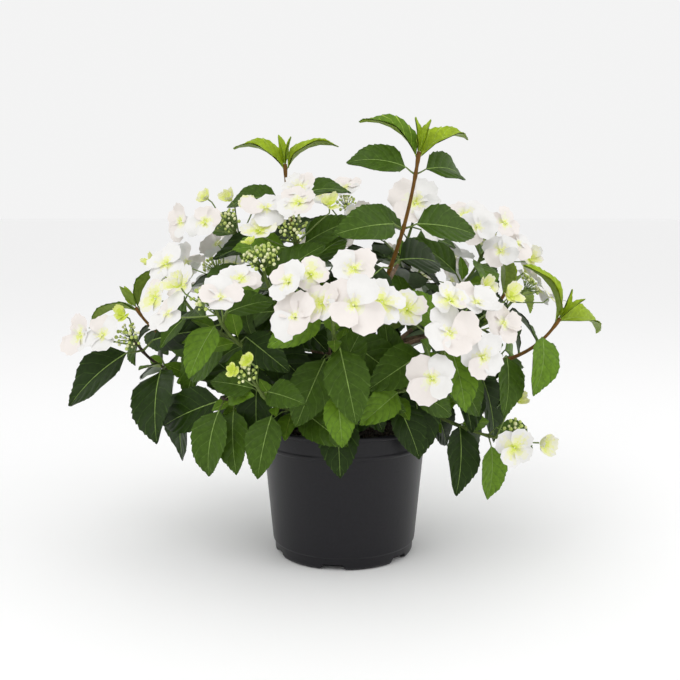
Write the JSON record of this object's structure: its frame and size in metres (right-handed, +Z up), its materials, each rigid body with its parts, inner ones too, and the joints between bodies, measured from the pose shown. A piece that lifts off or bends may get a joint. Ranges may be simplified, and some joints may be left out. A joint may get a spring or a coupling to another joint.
{
  "type": "potted hydrangea shrub",
  "caption": "White lacecap hydrangea shrub in bloom, with bright leafy tips over dark green leaves, in a black nursery pot.",
  "frame": {"origin": "centre of the pot's flat underside", "axes": "+Z up through the pot's axis, -Y towards the side the picture shows, +X to the right as that side is faced"},
  "size_m": [0.5847, 0.4603, 0.4734],
  "materials": {
    "pot": "satin black moulded plastic",
    "compost": "dark crumbly bark compost",
    "bark": "brown bark with fine lengthwise cracks",
    "foliage": "dark green leaves with a slight sheen and white blossom"
  },
  "bodies": {
    "root": {"pot": "pot", "compost": "compost", "woody_crown": "bark", "front_head_bough": "bark", "front_head": "foliage", "right_head_bough": "bark", "right_head": "foliage", "left_head_bough": "bark", "left_head": "foliage", "tall_right_tip_bough": "bark", "tall_right_tip": "foliage", "top_head_bough": "bark", "top_head": "foliage", "tall_left_tip_bough": "bark", "tall_left_tip": "foliage", "upper_left_head_bough": "bark", "upper_left_head": "foliage", "far_left_head": "foliage", "right_back_head_bough": "bark", "right_back_head": "foliage", "back_left_head_bough": "bark", "back_left_head": "foliage", "back_head_bough": "bark", "back_head": "foliage", "back_right_head_bough": "bark", "back_right_head": "foliage", "top_right_head_bough": "bark", "top_right_head": "foliage", "green_bud_head_bough": "bark", "green_bud_head": "foliage", "left_mid_head_bough": "bark", "left_mid_head": "foliage", "right_tip_bough": "bark", "right_tip": "foliage", "right_side_head_bough": "bark", "right_side_head": "foliage", "back_top_head_bough": "bark", "back_top_head": "foliage", "back_left_tip_bough": "bark", "back_left_tip": "foliage", "back_right_tip_bough": "bark", "back_right_tip": "foliage", "low_left_buds": "foliage", "low_front_leaves": "foliage", "low_front_right_leaves": "foliage", "low_right_head": "foliage", "low_left_leaves": "foliage", "low_right_leaves": "foliage", "low_back_left_leaves": "foliage", "low_back_right_leaves": "foliage"}
  },
  "joints": []
}
